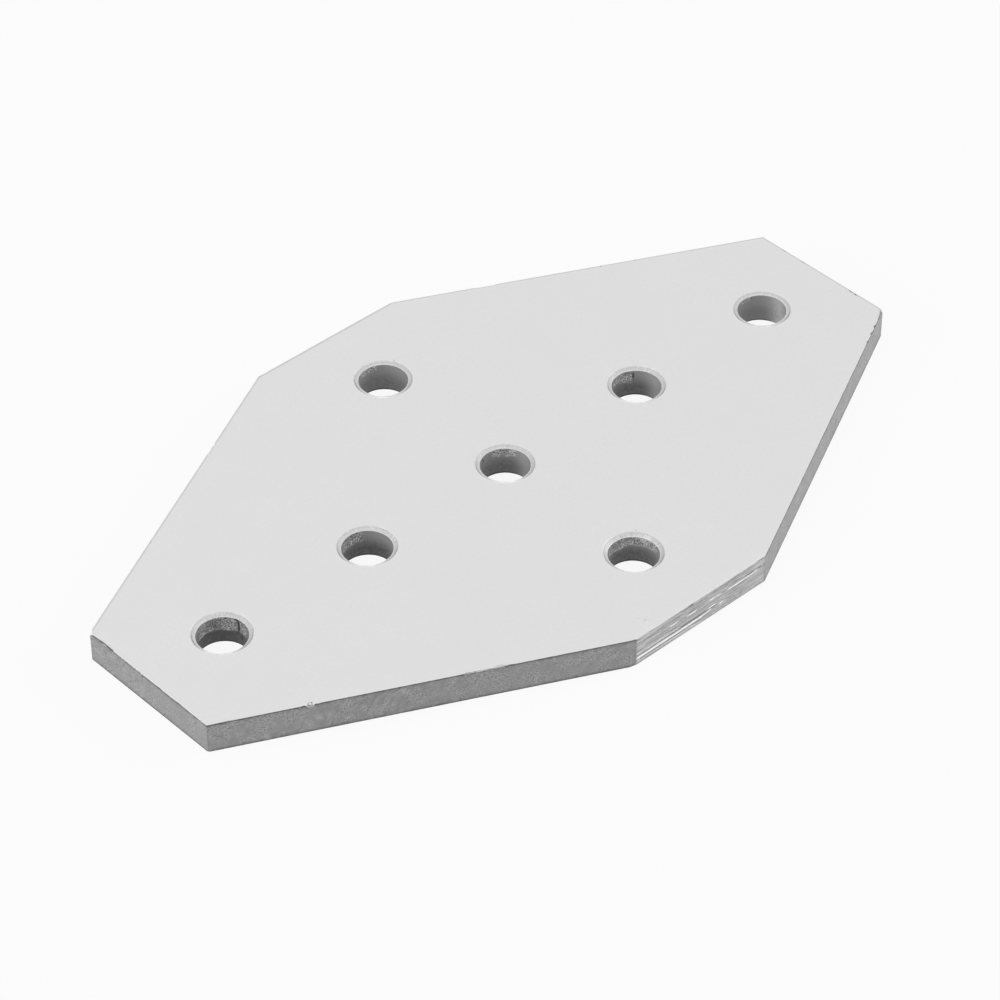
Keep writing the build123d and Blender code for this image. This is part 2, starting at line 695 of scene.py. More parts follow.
    def relief(self, side: Side, along: float, below: float) -> Touch:
        """Work out the tool marks at a point of a side.

        Args:
            side: The side.
            along: The point's distance from the side's first corner.
            below: Its distance under the upper edge.

        Returns:
            How far its metal stands out of the side's plane, its light and dark mottle, and the painted
            shade of die grooves and the painted highlight of die ridges.
        """
        k = side.value
        if not side.drawn:
            lean = along + self.saw_lean * below
            wave = 0.6 * self.saw_teeth.at(lean, below, k) + 0.4 * self.saw_sway.at(along, below, k)
            depth = self.saw_wave * (0.5 + 0.5 * wave)
            rough = smooth_step(self.mottle_patch.at(along, below, k), -0.25, 0.35)
            mottle = self.mottle_grain.at(lean, below, k)
            shade = self.mottle * (0.4 + rough) * max(0.0, mottle)
            wear_and_highlight = self.mottle * rough * max(0.0, -mottle - 0.15)
        else:
            depth = self.die_skin + self.die_wave * self.die_streak.at(along, below, k)
            wear_and_highlight = shade = 0.0
        # Die grooves get painted shade and die ridges a painted highlight, on top of their shallow
        # relief.
        for line in self.die_lines:
            if line.side is side:
                weight = line.weight(along, below)
                broken = weight * (0.8 + 0.5 * self.line_break.at(along, below, line.first / MM))
                depth += line.depth * weight
                if line.depth > 0:
                    shade += 1.7 * line.strength * broken
                else:
                    wear_and_highlight += 4.0 * line.strength * broken
        return Touch(out=-max(0.0, depth), wear_and_highlight=wear_and_highlight, shade=shade)

    def edge_tone(self, side: Side, along: float, below: float) -> tuple[float, float]:
        """Work out the painted shade and highlight along a side's upper and lower edges.

        Args:
            side: The side.
            along: The point's distance from the side's first corner.
            below: Its distance below the upper edge, or minus its distance in over the face.

        Returns:
            The painted highlight, and the shade: painted dark lines plus darker noisy patches.
        """
        lower = self.thickness - max(0.0, below)
        patch = 0.0 if side.drawn else max(0.0, self.edge_mottle.at(along, below, side.value))
        # Painted shade along the lower edge, plus darker noisy patches near it on sawn sides.
        shade = 0.8 * bell(lower - 0.12 * MM, 0.34 * MM) + 1.2 * patch * bell(lower, 1.2 * MM)
        wear_and_highlight = 0.0
        if below > TOUCHING:
            start = self.bar_radius if side.drawn else 0.0
            line = bell(below - start - self.edge_line, self.edge_line_width)
            # A painted dark line just under the upper edge, faint on the drawn flats, plus darker noisy
            # patches near it.
            shade += (0.05 if side.drawn else 0.8) * line
            shade += 1.2 * patch * bell(below - start, self.edge_mottle_reach)
        elif side.rubbed_and_highlit:
            # Sides facing the camera: a painted highlight along the edge on the top face.
            wear_and_highlight = 0.22 * bell(below, 0.4 * MM)
        else:
            # The other sides: a painted dark line along the edge on the top face.
            shade += 0.3 * bell(below + 0.05 * MM, 0.3 * MM)
        return wear_and_highlight, shade

    def finished(self, plain: Vector) -> tuple[Vector, float, float]:
        """Work out where a point of the plain blank lies on the finished plate, and its look.

        Args:
            plain: The point on the plain blank.

        Returns:
            The point's finished place, its scuffing with painted highlight, and its shade.
        """
        side, share, inside = self.outline.locate(plain)
        height = plain.z
        k = side.value
        outward, length = self.outline.outward[k], self.outline.lengths[k]
        around = (Side((k - 1) % 8), side, Side((k + 1) % 8))
        insets = tuple(self.inset(each, height) + inside for each in around)
        flat = self.outline.point(side, share, insets)
        along = share * length
        to_corner = min(along, length - along)
        on_face = inside > TOUCHING
        upper = height > self.thickness / 2
        below = -inside if on_face and upper else self.thickness - height + inside
        wear_and_highlight, shade = self.edge_tone(side, along, below)
        push = down = 0.0
        if not on_face:
            tooled = self.relief(side, along, below)
            push += tooled.out * smooth_step(to_corner, 0, self.tooling_ease)
            push -= self.corner_break * (1 - smooth_step(to_corner, 0, self.corner_reach))
            wear_and_highlight += tooled.wear_and_highlight
            shade += tooled.shade + 0.2 * bell(to_corner, 0.2 * MM)
        if upper and not side.drawn:
            tear = 0.6 + 0.4 * self.ragged_teeth.at(along, below, k)
            push -= self.ragged * tear * bell(below, 0.18 * MM) * smooth_step(to_corner, 0, 0.4 * MM)
        for each in self.marks:
            if each.side is side:
                touch = each.touch(along, below)
                push += touch.out
                down += touch.down
                wear_and_highlight += touch.wear_and_highlight
                shade += touch.shade
        keep_in = smooth_step(inside, self.bands[-1], 0.3 * self.bands[-1]) if on_face else 1.0
        wear_and_highlight, shade = wear_and_highlight * keep_in, shade * keep_in
        flat += outward * min(push, 0.0 if side.drawn else insets[1]) * keep_in
        place = Vector((flat.x, flat.y, height - down * keep_in))
        for knock in self.knocks:
            proud = knock.depth_at(place, self.outline, self.thickness)
            if proud > 0:
                place -= knock.aim(self.outline, self.thickness)[1] * proud
                wear_and_highlight, shade = knock.wear_and_highlight, 0.0
        return place, min(1.0, wear_and_highlight), min(1.0, shade)


# ---------------------------------------------------------------------------------------------
# Screw holes and small dents
# ---------------------------------------------------------------------------------------------


def ring_of(bm: BMesh, centre: Vector, height: float, radius: float, segments: int) -> list[BMEdge]:
    """Draw a level circle of edges and return them."""
    place = Matrix.Translation((*centre, height))
    made = bmesh.ops.create_circle(bm, segments=segments, radius=radius, matrix=place)
    return list(dict.fromkeys(edge for vert in made["verts"] for edge in vert.link_edges))


def turn_between(bearing: float, other: float) -> float:
    """Return the turn from one bearing to another in degrees, from -180 to 180."""
    return (bearing - other + 180) % 360 - 180


@dataclass(frozen=True)
class Tear:
    """Metal that the drill tore out of a hole's wall, from the mouth down to a ragged line."""

    bearing: float
    half_span: float
    reach: float
    slant: float = 0.0
    raggedness: float = 0.3 * MM
    lip: float = 0.16 * MM

    def weight(self, bearing: float, depth: float, jitter: float) -> tuple[float, float]:
        """Say how torn a point of the wall is, and how near it lies to the tear's lower lip.

        Args:
            bearing: The point's bearing from the hole's middle, in degrees.
            depth: Its depth under the top face.
            jitter: Noise from -1 to 1 that makes the tear's borders ragged.

        Returns:
            Two shares from 0 to 1.
        """
        offset = turn_between(bearing, self.bearing) / self.half_span
        reach = self.reach + self.slant * offset + self.raggedness * jitter
        within = 1 - smooth_step(abs(offset) + 0.12 * jitter, 0.92, 1.04)
        torn = within * (1 - smooth_step(depth, reach - 0.08 * MM, reach + 0.06 * MM))
        return torn, within * bell(depth - reach, self.lip)


@dataclass(frozen=True)
class Score:
    """A deep score that a chip cut down a hole's wall, painted near-black with shade."""

    bearing: float
    bow: float
    first: float
    last: float
    half_width: float = 0.34 * MM

    def weight(self, bearing: float, depth: float, radius: float) -> float:
        """Return how fully the score shows at a point of the wall, from 0 to 1."""
        passed = (depth - self.first) / (self.last - self.first)
        if not -0.1 < passed < 1.1:
            return 0.0
        middle = self.bearing + 4 * self.bow * passed * (1 - passed)
        offset = math.radians(turn_between(bearing, middle)) * radius
        ends = smooth_step(passed, -0.05, 0.05) * (1 - smooth_step(passed, 0.85, 1.05))
        return ends * bell(offset, self.half_width * (1.1 - 0.4 * passed))


@dataclass(frozen=True)
class HoleWork:
    """What drilling and countersinking left in one hole.

    The wall shade scales the painted shade that darkens the smooth wall towards the bottom, and shifts
    the torn band darker or lighter about a wall shade of 1; the wall highlight scales a painted
    highlight on the wall's right-hand side.
    """

    mouth_depth: float
    tears: tuple[Tear, ...] = ()
    scores: tuple[Score, ...] = ()
    wall_shade: float = 1.0
    wall_highlight: float = 0.0


PLAIN_WORK = HoleWork(0.42 * MM)

HOLE_WORK = {
    "end_hole_left": HoleWork(
        0.45 * MM,
        (Tear(52.0, 67.0, 3.0 * MM),),
        (
            Score(18.0, -3.5, 0.5 * MM, 3.9 * MM),
            Score(22.0, 0.0, 0.4 * MM, 1.0 * MM, 0.4 * MM),
            Score(41.0, 0.0, 0.5 * MM, 0.8 * MM, 0.2 * MM),
            Score(7.0, -2.0, 3.0 * MM, 4.4 * MM, 0.16 * MM),
        ),
        wall_shade=1.27,
    ),
    "arm_hole_left": HoleWork(
        0.42 * MM, (Tear(89.0, 29.0, 2.6 * MM, 0.15 * MM),), wall_shade=1.05
    ),
    "centre_hole": HoleWork(
        0.38 * MM,
        (Tear(51.0, 29.0, 1.8 * MM),),
        (Score(114.0, -8.0, 0.6 * MM, 2.3 * MM, 0.13 * MM),),
        wall_shade=0.85,
        wall_highlight=0.35,
    ),
    "arm_hole_right": HoleWork(
        0.40 * MM,
        (Tear(86.0, 31.0, 2.35 * MM, -0.55 * MM),),
        (Score(53.0, 0.0, 1.0 * MM, 2.2 * MM, 0.18 * MM),),
        wall_shade=0.95,
        wall_highlight=0.45,
    ),
    "end_hole_right": HoleWork(
        0.22 * MM, (Tear(85.0, 15.0, 0.95 * MM),), wall_shade=0.5, wall_highlight=1.0
    ),
    "cross_hole_near": HoleWork(
        0.50 * MM, (Tear(52.0, 67.0, 2.3 * MM, 0.28 * MM),), wall_shade=0.92
    ),
    "cross_hole_far": HoleWork(0.28 * MM, (Tear(90.0, 24.0, 1.4 * MM),), wall_shade=0.7),
}


@dataclass
class ScrewHole:
    """One drilled and countersunk hole, with the torn metal that the drill leaves in it."""

    centre: Vector
    radius: float
    thickness: float
    work: HoleWork
    seed: float
    tear: float = 0.05 * MM
    lip: float = 0.03 * MM
    score_depth: float = 0.2 * MM
    mouth_width: float = 0.75 * MM
    rim_break: float = 0.03 * MM
    burr_break: float = 0.05 * MM
    foot_band: float = 0.2 * MM
    foot_shade: float = 0.36 * MM
    shade_depths: tuple[float, float] = (0.9 * MM, 4.2 * MM)
    highlit_bearing: float = -133.0
    highlit_span: float = 65.0
    shaded_bearings: tuple[float, float] = (165.0, -72.0)
    shaded_span: float = 48.0
    wall_highlight_bearing: float = -6.0
    wall_highlight_span: float = 42.0
    front_tear: Tear = Tear(bearing=235.0, half_span=50.0, reach=1.7 * MM, slant=0.3 * MM)
    rim_band: float = 0.12 * MM
    rim_line: float = 0.13 * MM
    shade_ring_width: float = 0.17 * MM
    full_mouth_depth: float = 0.4 * MM
    ragged_size: float = 1.1 * MM
    crumb_size: float = 0.35 * MM
    grain_size: float = 0.34 * MM
    segments: int = 136
    cone_rows: int = 5
    wall_row: float = 0.2 * MM

    def profile(self) -> list[tuple[float, float, Surface]]:
        """Return radius, height and surface of each ring, from the top face to the underside."""
        top, mouth, cone = self.thickness, self.radius + self.mouth_width, self.work.mouth_depth
        rings = [
            (mouth + self.rim_band, top, Surface.SATIN_FACE),
            (mouth + self.rim_break, top, Surface.SATIN_FACE),
        ]
        for k in range(self.cone_rows + 1):
            share = k / self.cone_rows
            depth = max(self.rim_break, cone * share)
            rings.append((mouth - self.mouth_width * share, top - depth, Surface.COUNTERSINK))
        straight = top - cone - self.burr_break
        rows = round(straight / self.wall_row)
        for k in range(1, rows + 1):
            height = self.burr_break + straight * (1 - k / rows)
            rings.append((self.radius, height, Surface.DRILLED_WALL))
        foot = self.radius + self.burr_break
        rings.append((foot - self.burr_break / 2, self.burr_break / 2, Surface.DRILLED_WALL))
        rings.append((foot, 0.0, Surface.DRILLED_WALL))
        rings.append((foot + self.rim_band, 0.0, Surface.SATIN_FACE))
        return rings

    def wall(self, bearing: float, height: float) -> tuple[Touch, float]:
        """Work out what the drill left at a point of the straight wall.

        Args:
            bearing: The point's bearing from the hole's middle, in degrees.
            height: Its height above the underside.

        Returns:
            How far the metal stands in from the wall, its scuffing with painted highlight, and its
            shade, with painted shade darkening the wall towards the bottom; and how torn it is, from 0
            to 1.
        """
        angle, depth = math.radians(bearing), self.thickness - height
        x, y = math.cos(angle) * self.radius, math.sin(angle) * self.radius
        jitter = noise.noise(Vector((x, y, self.seed * MM)) / self.ragged_size)
        jitter += 0.7 * noise.noise(Vector((x, y, depth)) / self.crumb_size)
        grain = noise.noise(Vector((x, y, height)) / self.grain_size + Vector((self.seed, 0, 0)))
        torn = edge = 0.0
        for each in (*self.work.tears, self.front_tear):
            share, lip = each.weight(bearing, depth, jitter)
            torn, edge = max(torn, share), max(edge, lip)
        cut = max((each.weight(bearing, depth, self.radius) for each in self.work.scores), default=0.0)
        # Painted shade: the smooth wall darkens towards the bottom, and a painted dark line runs along
        # its foot.
        smooth = self.work.wall_shade * (0.12 + 0.78 * smooth_step(depth, *self.shade_depths))
        smooth += 0.9 * bell(height, self.foot_shade)
        # The torn band keeps its dark grain, shifted darker or lighter by the hole's wall shade.
        shade = smooth * (1 - torn) + torn * (0.6 * max(0.0, grain) + 0.7 * (self.work.wall_shade - 1))
        # The score is painted near-black with shade; the tear's lower lip sheds some shade.
        shade = max(shade * (1 - 0.7 * edge), min(1.0, 1.5 * cut))
        away = self.tear * torn * (0.55 + 0.8 * grain) + self.score_depth * cut
        # Bright flecks in the torn grain, and a bright line along the tear's lower lip.
        wear_and_highlight = 0.8 * edge * (0.6 + 0.8 * jitter) + 0.9 * torn * max(0.0, -grain - 0.12)
        # A painted highlight on the wall's right-hand side.
        highlit_share = bell(turn_between(bearing, self.wall_highlight_bearing), self.wall_highlight_span)
        wear_and_highlight += self.work.wall_highlight * (1 - torn) * highlit_share
        wear_and_highlight *= 1 - cut
        return Touch(self.lip * edge - away, 0.0, max(0.0, wear_and_highlight), shade), torn

    def rim_tone(self, bearing: float, radius: float, height: float) -> tuple[float, float]:
        """Work out how bright and how dark a ring of the cone is painted at a bearing.

        Args:
            bearing: The point's bearing from the hole's middle, in degrees.
            radius: The ring's radius.
            height: The ring's height above the underside.

        Returns:
            How much brighter it is painted, fullest at the cone's two rims and, as a painted highlight,
            on the side that faces the camera; and the painted shade of a ring just inside the outer
            rim, darkest towards its lower left and lower right as seen from the camera.
        """
        outer = radius - self.radius - self.mouth_width
        inner = math.hypot(radius - self.radius, height - self.thickness + self.work.mouth_depth)
        # Brighter along both rims.
        wear_and_highlight = 0.35 * bell(min(abs(outer), inner), self.rim_line)
        depth_share = min(1.0, self.work.mouth_depth / self.full_mouth_depth)
        # A painted highlight on the side that faces the camera, fuller in deeper cones.
        wear_and_highlight += depth_share * bell(turn_between(bearing, self.highlit_bearing), self.highlit_span)
        # A painted shade ring inside the outer rim, darkest towards the lower left and lower right as
        # seen from the camera.
        turns = [turn_between(bearing, each) for each in self.shaded_bearings]
        sides = max(bell(turn, self.shaded_span) for turn in turns)
        return wear_and_highlight, (0.15 + 0.8 * sides) * bell(outer + self.rim_line, self.shade_ring_width)

    def build(
        self, bm: BMesh, wear_and_highlight: BMLayerItem, shade: BMLayerItem
    ) -> tuple[list[BMEdge], list[BMEdge]]:
        """Drill the hole.

        Args:
            bm: The mesh to build in.
            wear_and_highlight: The vertex layer that holds scuffing and painted highlights.
            shade: The vertex layer that holds darker mottle and painted shade.

        Returns:
            The ring of edges on the top face, and the one on the underside.
        """
        rings = self.profile()
        top = loop = ring_of(bm, self.centre, self.thickness, rings[0][0], self.segments)
        for radius, height, surface in rings[1:]:
            made = bmesh.ops.extrude_edge_only(bm, edges=loop)
            loop = parts_of(made, BMEdge)
            for face in parts_of(made, BMFace):
                face.material_index = surface.value
                face.smooth = True
            for vert in parts_of(made, BMVert):
                spoke = (vert.co.xy - self.centre).normalized()
                bearing = math.degrees(math.atan2(spoke.y, spoke.x))
                touch, torn, worn_and_highlit, dark = Touch(), 0.0, 0.0, 0.0
                if surface is Surface.DRILLED_WALL:
                    touch, torn = self.wall(bearing, height)
                elif surface is Surface.COUNTERSINK:
                    worn_and_highlit, dark = self.rim_tone(bearing, radius, height)
                vert.co.xy = self.centre + spoke * (radius - touch.out)
                vert.co.z = height
                vert[wear_and_highlight] = min(1.0, touch.wear_and_highlight + worn_and_highlit)
                vert[shade] = min(1.0, touch.shade + dark)
                # Torn faces take the torn wall's finish, and so does the band at the foot, whose
                # near-black shade tone paints a dark line there.
                if torn > 0.5 or (surface is Surface.DRILLED_WALL and height < self.foot_band):
                    for face in vert.link_faces:
                        face.material_index = Surface.TORN_WALL_AND_FOOT_SHADE.value
        return top, loop

    def unrolled(self, middle: Vector, place: Vector) -> tuple[float, float]:
        """Lay a point of the hole's wall or cone out flat.

        Args:
            middle: The middle of the point's face, which keeps the face whole across the seam.
            place: The point.

        Returns:
            Its distance round the hole, and its height less its distance out, set apart from
            the other holes'.
        """
        out, spoke = middle.xy - self.centre, place.xy - self.centre
        angle = math.atan2(out.y, out.x) - out.angle_signed(spoke, 0.0)
        return angle * self.radius, place.z - spoke.length + self.radius + self.seed * MM


@dataclass(frozen=True)
class FaceDent:
    """A small round dent in the top face, painted darker with shade where it is deeper."""

    x: float
    y: float
    radius: float
    depth: float
    segments: int = 12
    steps: tuple[tuple[float, float], ...] = ((0.65, 0.6), (0.3, 1.0))
    dent_shade: float = 0.35

    def build(self, bm: BMesh, shade: BMLayerItem, height: float) -> list[BMEdge]:
        """Press the dent into the face.

        Args:
            bm: The mesh to build in.
            shade: The vertex layer that holds darker mottle and painted shade.
            height: The top face's height.

        Returns:
            The dent's outer ring of edges.
        """
        centre = Vector((self.x, self.y))
        rim = loop = ring_of(bm, centre, height, self.radius, self.segments)
        for share, drop in self.steps:
            made = bmesh.ops.extrude_edge_only(bm, edges=loop)
            loop = parts_of(made, BMEdge)
            for vert in parts_of(made, BMVert):
                spoke = (vert.co.xy - centre).normalized()
                vert.co.xy = centre + spoke * self.radius * share
                vert.co.z = height - self.depth * drop
                # Painted shade, fuller deeper in the dent.
                vert[shade] = self.dent_shade * drop
        bmesh.ops.contextual_create(bm, geom=loop)
        return rim


FACE_DENTS = (
    FaceDent(x=3.95 * MM, y=-26.42 * MM, radius=0.2 * MM, depth=0.06 * MM),
    FaceDent(x=4.72 * MM, y=32.53 * MM, radius=0.2 * MM, depth=0.06 * MM),
    FaceDent(x=-9.9 * MM, y=-42.6 * MM, radius=0.2 * MM, depth=0.04 * MM),
    FaceDent(x=-10.5 * MM, y=-41.6 * MM, radius=0.14 * MM, depth=0.03 * MM),
)


# ---------------------------------------------------------------------------------------------
# The whole plate
# ---------------------------------------------------------------------------------------------


@dataclass
class SawnPlate:
    """The finished plate: blank, screw holes, dents and the two broad faces between them."""

    blank: Blank
    holes: list[ScrewHole]
    dents: Sequence[FaceDent] = FACE_DENTS
    sharp_angle: float = math.radians(20)
    satin_tilt: float = 0.6
    name: str = "sawn_plate"

    def build(self) -> bpy.types.Object:
        """Build the mesh and put it in the scene.

        Returns:
            The plate's object, at the origin and with no materials yet.
        """
        bm = bmesh.new()
        wear_and_highlight = bm.verts.layers.float.new(WEAR_AND_HIGHLIGHT_LAYER)
        shade = bm.verts.layers.float.new(SHADE)
        upper, lower = self.blank.build(bm, wear_and_highlight, shade)
        for hole in self.holes:
            top, bottom = hole.build(bm, wear_and_highlight, shade)
            upper += top
            lower += bottom
        for dent in self.dents:
            upper += dent.build(bm, shade, self.blank.thickness)
        for edges, way in ((upper, 1), (lower, -1)):
            bmesh.ops.triangle_fill(bm, use_beauty=True, edges=edges, normal=(0, 0, way))
        bmesh.ops.recalc_face_normals(bm, faces=bm.faces)
        self.lay_uv(bm)
        self.carry_satin_over(bm)
        mesh = bpy.data.meshes.new(self.name)
        bm.to_mesh(mesh)
        bm.free()
        mesh.set_sharp_from_angle(angle=self.sharp_angle)
        return add_object(self.name, mesh)

    def carry_satin_over(self, bm: BMesh) -> None:
        """Give up-tilted faces of the sides the top face's lighter satin: partly its finish running
        over rounded and rolled edges, partly painted light on faces that face up.
        """
        for face in bm.faces:
            if Surface(face.material_index) in BAR_SIDES and face.normal.z > self.satin_tilt:
                face.material_index = Surface.SATIN_FACE.value

    def lay_uv(self, bm: BMesh) -> None:
        """Lay the sides and the holes' walls out flat, as distance round them and height, in metres."""
        layer = bm.loops.layers.uv.new(UV_MAP)
        for face in bm.faces:
            surface = Surface(face.material_index)
            middle = face.calc_center_median()
            if surface is Surface.SATIN_FACE:
                for loop in face.loops:
                    loop[layer].uv = loop.vert.co.xy
            elif surface in BAR_SIDES:
                side = self.blank.outline.locate(middle)[0]
                for loop in face.loops:
                    loop[layer].uv = self.blank.outline.unrolled(side, loop.vert.co)
            else:
                hole = min(self.holes, key=lambda each: (each.centre - middle.xy).length)
                for loop in face.loops:
                    loop[layer].uv = hole.unrolled(middle, loop.vert.co)

    def dress(self, plate: bpy.types.Object, finishes: Sequence["Finish"]) -> None:
        """Give the plate its materials, one slot for each surface in order.

        Args:
            plate: The object that build made.
            finishes: The finishes, in the order of Surface.
        """
        groups = SharedGroups()
        for finish in finishes:
            plate.data.materials.append(finish.material(groups))


# ---------------------------------------------------------------------------------------------
# Shader groups that the finishes share
# ---------------------------------------------------------------------------------------------


class NodeSheet:
    """Lays nodes into a tree and joins them."""

    def __init__(self, tree: bpy.types.NodeTree) -> None:
        """Start on an emptied tree."""
        self.tree = tree
        tree.nodes.clear()

    def add(self, kind: str, inputs: dict | None = None, **settings: object) -> bpy.types.Node:
        """Add a node.

        Args:
            kind: The node's type name.
            inputs: Values or sockets for its inputs, by name or by number.
            settings: Values for its properties.

        Returns:
            The new node.
        """
        node = self.tree.nodes.new(kind)
        for name, value in settings.items():
            setattr(node, name, value)
        for name, value in (inputs or {}).items():
            if isinstance(value, bpy.types.NodeSocket):
                self.tree.links.new(value, node.inputs[name])
            else:
                node.inputs[name].default_value = value
        return node

    def place_group(
        self, group: bpy.types.NodeTree, place: bpy.types.NodeSocket, inputs: dict
    ) -> bpy.types.Node:
        """Add a node group that reads a place, with its other inputs, and return its node."""
        return self.add("ShaderNodeGroup", {"Vector": place, **inputs}, node_tree=group)

    def math(self, operation: str, *values: object) -> bpy.types.NodeSocket:
        """Add a Math node on values or sockets and return its result."""
        inputs = dict(enumerate(values))
        return self.add("ShaderNodeMath", inputs, operation=operation).outputs[0]

    def ramp(self, value: object, low: float, high: float, at: tuple) -> bpy.types.NodeSocket:
        """Map a value between at's two bounds onto low to high, and return the result."""
        inputs = {0: value, 1: at[0], 2: at[1], 3: low, 4: high}
        return self.add("ShaderNodeMapRange", inputs).outputs[0]

    def noise(self, place: object, scale: object, detail: float) -> bpy.types.NodeSocket:
        """Add a noise of that scale and detail on a place, and return its value."""
        inputs = {"Vector": place, "Scale": scale, "Detail": detail, "Roughness": 0.6}
        return self.add("ShaderNodeTexNoise", inputs).outputs["Fac"]

    def blend(self, factor: object, first: object, second: object) -> bpy.types.NodeSocket:
        """Mix two colours by a factor and return the result."""
        inputs = {0: factor, 6: first, 7: second}
        return self.add("ShaderNodeMix", inputs, data_type="RGBA").outputs[2]


def new_group(
    name: str, inputs: dict[str, str], outputs: dict[str, str]
) -> tuple[bpy.types.NodeTree, NodeSheet, bpy.types.Node]:
    """Start a shader node group with named sockets.

    Args:
        name: The group's name.
        inputs: Socket kinds by name.
        outputs: Socket kinds by name.

    Returns:
        The group's tree, a sheet to lay nodes on, and its input node.
    """
    tree = bpy.data.node_groups.new(name, "ShaderNodeTree")
    for sockets, way in ((inputs, "INPUT"), (outputs, "OUTPUT")):
        for label, kind in sockets.items():
            tree.interface.new_socket(label, in_out=way, socket_type="NodeSocket" + kind)
    sheet = NodeSheet(tree)
    return tree, sheet, sheet.add("NodeGroupInput")


def grain_group() -> bpy.types.NodeTree:
    """Make the group of fine grain that is stronger in some patches than in others.

    Returns:
        A group from a vector, the grains' and the patches' size and the patches' share to a
        tone around a half and a height.
    """
    tree, sheet, given = new_group(
        "metal_grain",
        {"Vector": "Vector", "Grain": "Float", "Patch": "Float", "Patchiness": "Float"},
        {"Tone": "Float", "Height": "Float"},
    )
    place = given.outputs["Vector"]
    fine = sheet.noise(place, sheet.math("DIVIDE", 1.0, given.outputs["Grain"]), 2.0)
    cloud = sheet.noise(place, sheet.math("DIVIDE", 1.0, given.outputs["Patch"]), 2.0)
    patchiness = given.outputs["Patchiness"]
    patched = sheet.math("MULTIPLY", sheet.ramp(cloud, -1.0, 1.0, (0.38, 0.62)), patchiness)
    strength = sheet.math("ADD", 1.0, patched)
    around = sheet.math("MULTIPLY", sheet.math("SUBTRACT", fine, 0.5), strength)
    drift = sheet.math("MULTIPLY", sheet.math("SUBTRACT", cloud, 0.5), 0.25)
    tone = sheet.math("ADD", sheet.math("ADD", around, drift), 0.5)
    sheet.add("NodeGroupOutput", {"Tone": tone, "Height": fine})
    return tree


def strokes_group() -> bpy.types.NodeTree:
    """Make the group of straight tool strokes: saw teeth, die lines or drill rings.

    Returns:
        A group from a vector, a turn and the strokes' size along each axis to a tone around a
        half and a height.
    """
    tree, sheet, given = new_group(
        "tool_strokes",
        {"Vector": "Vector", "Turn": "Vector", "Stroke": "Vector"},
        {"Tone": "Float", "Height": "Float"},
    )
    inputs = {
        "Vector": given.outputs["Vector"],
        "Rotation": given.outputs["Turn"],
        "Scale": given.outputs["Stroke"],
    }
    laid = sheet.add("ShaderNodeMapping", inputs, vector_type="TEXTURE").outputs[0]
    fine = sheet.noise(laid, 1.0, 3.0)
    broad = sheet.noise(laid, 0.3, 1.0)
    tone = sheet.math("MULTIPLY_ADD", fine, 0.7, sheet.math("MULTIPLY", broad, 0.3))
    sheet.add("NodeGroupOutput", {"Tone": tone, "Height": fine})
    return tree


def mask_group(attribute: str, broken: float) -> bpy.types.NodeTree:
    """Make a group that reads one of the mesh's own masks and breaks it up with noise.

    Args:
        attribute: The mesh attribute that holds the mask, which also names the group.
        broken: How far the noise may weaken or strengthen the mask.

    Returns:
        A group from a vector and a patch size to a mask.
    """
    inputs = {"Vector": "Vector", "Patch": "Float"}
    tree, sheet, given = new_group(attribute, inputs, {"Mask": "Float"})
    held = sheet.add("ShaderNodeAttribute", attribute_name=attribute).outputs["Fac"]
    size = sheet.math("DIVIDE", 1.0, given.outputs["Patch"])
    patch = sheet.noise(given.outputs["Vector"], size, 2.0)
    strength = sheet.ramp(patch, 1 - broken, 1 + broken, (0.35, 0.65))
    mask = sheet.math("MINIMUM", sheet.math("MULTIPLY", held, strength), 1.0)
    sheet.add("NodeGroupOutput", {"Mask": mask})
    return tree


class SharedGroups:
    """The shader groups, made once and placed in every material."""

    def __init__(self) -> None:
        """Make the groups."""
        self.grain = grain_group()
        self.strokes = strokes_group()
        self.wear_and_highlight = mask_group(WEAR_AND_HIGHLIGHT_LAYER, 0.3)
        self.shade = mask_group(SHADE, 0.12)


def grey(level: float) -> tuple[float, float, float, float]:
    """Return a neutral colour of one level."""
    return (level, level, level, 1.0)


